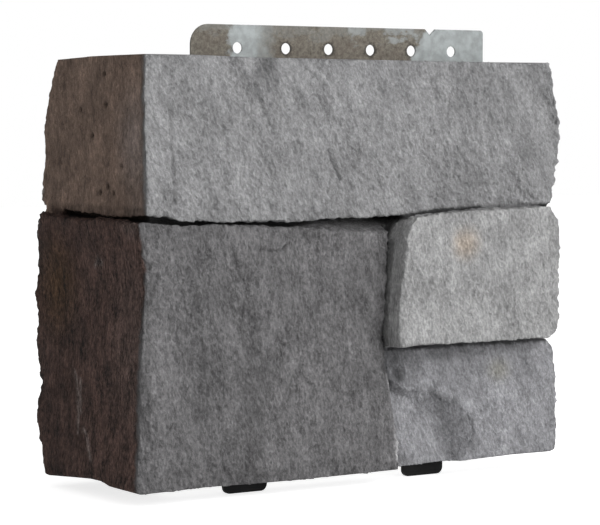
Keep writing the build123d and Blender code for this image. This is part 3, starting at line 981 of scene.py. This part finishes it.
def stone_material():
    """Cast stone: the vertices' colours, with their painted shade and light, under fibres, strands,
    stripes and sand.
    """
    s = Shader("cast_stone")
    base = s.add("ShaderNodeAttribute", attribute_name="stone_colour_with_painted_light").outputs["Color"]
    strength = s.add("ShaderNodeAttribute", attribute_name="stone_grain").outputs["Fac"]
    lean = s.add("ShaderNodeAttribute", attribute_name="stone_lean").outputs["Fac"]
    turn = s.add("ShaderNodeCombineXYZ", {"Y": lean}).outputs["Vector"]
    fibres = s.noise(s.grain(FIBRE_SIZE, turn), detail=5.0, roughness=0.68)
    strands = s.noise(s.grain(STRAND_SIZE, turn), detail=3.0)
    stripes = s.noise(s.grain(STRIPE_SIZE, turn), detail=3.0)
    sand = s.noise(s.grain(SAND_SIZE), detail=2.0)
    light = s.between(fibres, 0.48, 0.75, 0.0, FIBRE_LIGHT)
    dark = s.between(fibres, 0.28, 0.48, -FIBRE_DARK, 0.0)
    shade = s.math("ADD", light, dark)
    shade = s.math("ADD", shade, s.spread(strands, STRAND_SHADE))
    shade = s.math("ADD", shade, s.spread(stripes, STRIPE_SHADE))
    shade = s.math("ADD", shade, s.spread(sand, SAND_SHADE))
    level = s.math("ADD", s.math("MULTIPLY", shade, strength), STONE_LEVEL)
    level = s.math("MAXIMUM", level, STONE_LEAST)
    grey = s.add("ShaderNodeCombineColor", {"Red": level, "Green": level, "Blue": level})
    colour = s.mix(1.0, base, grey.outputs["Color"], "MULTIPLY")
    rough = s.math("MINIMUM", strength, 1.0)
    normal = s.bump(fibres, FIBRE_BUMP, rough)
    normal = s.bump(sand, SAND_BUMP, rough, normal)
    s.feed(s.surface, "Specular IOR Level", STONE_SPECULAR)
    return s.finish(colour, s.between(stripes, *NOISE_RANGE, *STONE_ROUGHNESS), 0.0, normal)


# The sheet is bare near its left end and from here to its right end, in millimetres along it
BARE_LEFT = (62.5, 80.0)
BARE_RIGHT = 172.0
BARE_RIGHT_SLANT = -0.6
BARE_DRIFT = 7.0
# Along its top edge the cement film has flaked off a little, and more in these runs
FLAKED_HEIGHTS = (215.0, 218.0)
FLAKED_WANDER = 8.0
FLAKED_LITTLE = 0.25
FLAKED_MORE = 0.7
FLAKED_RUNS = ((134.0, 146.0), (156.0, 176.0))
# The film is darker round the holes
FLANGE_HOLES = (68.1, 96.3, 121.7, 147.1, 172.5, 197.9)
HOLE_HEIGHT = COURSE_HEIGHT + 5.4
HOLE_RIM = (3.2, 4.2)
HOLE_RIM_RAGGED = 0.9
HOLE_RIM_SHARE = 0.75
FAR_FROM_HOLES = 1000.0
ZINC_DARK = rgba(112, 116, 116)
ZINC_LIGHT = rgba(130, 135, 135)
FILM_DARK = rgba(56, 51, 43)
FILM_LIGHT = rgba(124, 119, 109)
FILM_BROWN = rgba(84, 72, 64)
FILM_BROWN_SHARE = 0.35
HOLE_RIM_COLOUR = rgba(42, 38, 33)
ZINC_ROUGHNESS = 0.45
FILM_ROUGHNESS = 0.85
ZINC_METALLIC = 0.35
FILM_BUMP = 0.00025


def bare_share(s, along, up):
    """1 where the sheet is bare zinc, 0 under the cement film."""
    ragged = s.noise(s.grain((7.7, 7.7, 7.7)), detail=6.0, roughness=0.7)
    drift = s.between(ragged, 0.2, 0.8, -BARE_DRIFT, BARE_DRIFT)
    drifted = s.math("ADD", along, drift)
    left_end = s.between(drifted, BARE_LEFT[0] - 1.0, BARE_LEFT[0] + 2.0)
    left_stop = s.between(drifted, BARE_LEFT[1] - 2.0, BARE_LEFT[1] + 12.0, 1.0, 0.0)
    rise = s.math("SUBTRACT", up, COURSE_HEIGHT)
    slanted = s.math("ADD", drifted, s.math("MULTIPLY", rise, BARE_RIGHT_SLANT))
    right_end = s.between(slanted, BARE_RIGHT - 1.0, BARE_RIGHT + 1.5)
    bare = s.math("MAXIMUM", s.math("MULTIPLY", left_end, left_stop), right_end)
    worn = s.noise(s.grain((13.0, 13.0, 6.0)), detail=5.0, roughness=0.7)
    edge = s.between(s.math("ADD", up, s.spread(worn, FLAKED_WANDER)), *FLAKED_HEIGHTS)
    flaked = FLAKED_LITTLE
    for start, end in FLAKED_RUNS:
        begun = s.between(drifted, start - 1.0, start + 1.0)
        going = s.between(drifted, end - 1.0, end + 1.0, FLAKED_MORE, 0.0)
        flaked = s.math("MAXIMUM", flaked, s.math("MULTIPLY", begun, going))
    return s.math("MAXIMUM", bare, s.math("MULTIPLY", edge, flaked))


def film_colour(s, along, up, grime):
    """Colour of the cement film, with brown patches and darker round the holes."""
    patches = s.noise(s.grain((9.0, 9.0, 6.0)), detail=3.0)
    film = s.mix(s.between(grime, *NOISE_RANGE), FILM_DARK, FILM_LIGHT)
    film = s.mix(s.between(patches, 0.35, 0.7, 0.0, FILM_BROWN_SHARE), film, FILM_BROWN)
    spot = s.add("ShaderNodeCombineXYZ", {"X": along, "Y": up}).outputs["Vector"]
    nearest = FAR_FROM_HOLES
    for hole in FLANGE_HOLES:
        reach = s.add("ShaderNodeVectorMath", operation="DISTANCE")
        s.feed(reach, 0, spot)
        s.feed(reach, 1, (hole, HOLE_HEIGHT, 0.0))
        nearest = s.math("MINIMUM", nearest, reach.outputs["Value"])
    ragged_rim = s.math("ADD", nearest, s.spread(grime, HOLE_RIM_RAGGED))
    return s.mix(s.between(ragged_rim, *HOLE_RIM, HOLE_RIM_SHARE, 0.0), film, HOLE_RIM_COLOUR)


def galvanised_material():
    """Galvanised steel, bare near its ends and under a film of cement between them."""
    s = Shader("galvanised_steel")
    split = s.add("ShaderNodeSeparateXYZ", {"Vector": s.add("ShaderNodeTexCoord").outputs["Object"]})
    along = s.math("MULTIPLY", s.math("SUBTRACT", split.outputs["X"], corner_foot.x), 1.0 / MM)
    up = s.math("MULTIPLY", s.math("SUBTRACT", split.outputs["Z"], corner_foot.z), 1.0 / MM)
    film = s.math("SUBTRACT", 1.0, bare_share(s, along, up))
    spangle = s.noise(s.grain((4.2, 4.2, 4.2)), detail=2.0)
    grime = s.noise(s.grain((2.2, 2.2, 2.2)), detail=6.0, roughness=0.8)
    zinc = s.mix(s.between(spangle, 0.35, 0.65), ZINC_DARK, ZINC_LIGHT)
    colour = s.mix(film, zinc, film_colour(s, along, up, grime))
    roughness = s.between(film, 0.0, 1.0, ZINC_ROUGHNESS, FILM_ROUGHNESS)
    metallic = s.between(film, 0.0, 1.0, ZINC_METALLIC, 0.0)
    return s.finish(colour, roughness, metallic, s.bump(grime, FILM_BUMP))


TAB_BLACK = rgba(10, 10, 11)
TAB_DUST = rgba(30, 29, 28)
TAB_ROUGHNESS = (0.5, 0.7)
TAB_SPECULAR = 0.12
TAB_BUMP = 0.00015


def black_tab_material():
    """Black steel with a little dust."""
    s = Shader("black_coated_steel")
    peel = s.noise(s.grain((2.4, 2.4, 2.4)), detail=2.0)
    dust = s.noise(s.grain((11.0, 11.0, 11.0)), detail=4.0)
    colour = s.mix(s.between(dust, 0.55, 0.9), TAB_BLACK, TAB_DUST)
    s.feed(s.surface, "Specular IOR Level", TAB_SPECULAR)
    return s.finish(colour, s.between(dust, 0.3, 0.8, *TAB_ROUGHNESS), 0.0, s.bump(peel, TAB_BUMP))


def dress(node, material):
    """Gives a CAD node its material."""
    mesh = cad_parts[node].data
    mesh.materials.clear()
    mesh.materials.append(material)


# Floor, light and world

WHITE = (1.0, 1.0, 1.0, 1.0)
FLOOR_SIZE = 6.0
FLOOR_COLOUR = (0.8, 0.8, 0.8, 1.0)
FLOOR_ROUGHNESS = 0.9
FLOOR_SEEN_GLOW = 0.75
WORLD_LIGHT = 0.45
WORLD_SEEN = 1.0
# Lamps: name, place, size in metres, power in watts
LAMPS = (
    ("key", (560.0, -1150.0, 560.0), 1.0, 19.0),
    ("fill", (-700.0, -800.0, 300.0), 1.2, 3.0),
)
LAMPS_AIM = (120.0, 0.0, 100.0)


def make_floor():
    """A white floor that looks as white as the background and keeps the object's shadow."""
    mesh = bpy.data.meshes.new("floor")
    half = FLOOR_SIZE / 2
    corners = [(-half, -half, 0), (half, -half, 0), (half, half, 0), (-half, half, 0)]
    mesh.from_pydata(corners, [], [(0, 1, 2, 3)])
    floor = bpy.data.objects.new("floor", mesh)
    bpy.context.collection.objects.link(floor)
    s = Shader("floor")
    seen = s.add("ShaderNodeLightPath")
    rays = s.math("MAXIMUM", seen.outputs["Is Camera Ray"], seen.outputs["Is Glossy Ray"])
    s.finish(FLOOR_COLOUR, FLOOR_ROUGHNESS)
    s.feed(s.surface, "Emission Color", WHITE)
    s.feed(s.surface, "Emission Strength", s.math("MULTIPLY", rays, FLOOR_SEEN_GLOW))
    mesh.materials.append(s.material)


def make_world():
    """Even white light, seen by the camera as pure white."""
    world = bpy.data.worlds.new("world")
    world.use_nodes = True
    bpy.context.scene.world = world
    nodes = world.node_tree.nodes
    links = world.node_tree.links
    back = nodes["Background"]
    back.inputs["Color"].default_value = WHITE
    seen = nodes.new("ShaderNodeLightPath")
    level = nodes.new("ShaderNodeMapRange")
    links.new(seen.outputs["Is Camera Ray"], level.inputs["Value"])
    level.inputs["To Min"].default_value = WORLD_LIGHT
    level.inputs["To Max"].default_value = WORLD_SEEN
    links.new(level.outputs["Result"], back.inputs["Strength"])


def make_lamps():
    """Square lamps that face the unit."""
    for name, at, size, power in LAMPS:
        data = bpy.data.lights.new(name, "AREA")
        data.shape = "SQUARE"
        data.size = size
        data.energy = power
        lamp = bpy.data.objects.new(name, data)
        bpy.context.collection.objects.link(lamp)
        lamp.location = place(*at)
        lamp.rotation_euler = (Vector(LAMPS_AIM) - Vector(at)).to_track_quat("-Z", "Y").to_euler()


make_camera()
make_stone()
dress("nailing_flange", galvanised_material())
for tab in ("locating_tab_left", "locating_tab_right"):
    dress(tab, black_tab_material())
make_floor()
make_world()
make_lamps()
bpy.context.scene.view_settings.view_transform = "Standard"
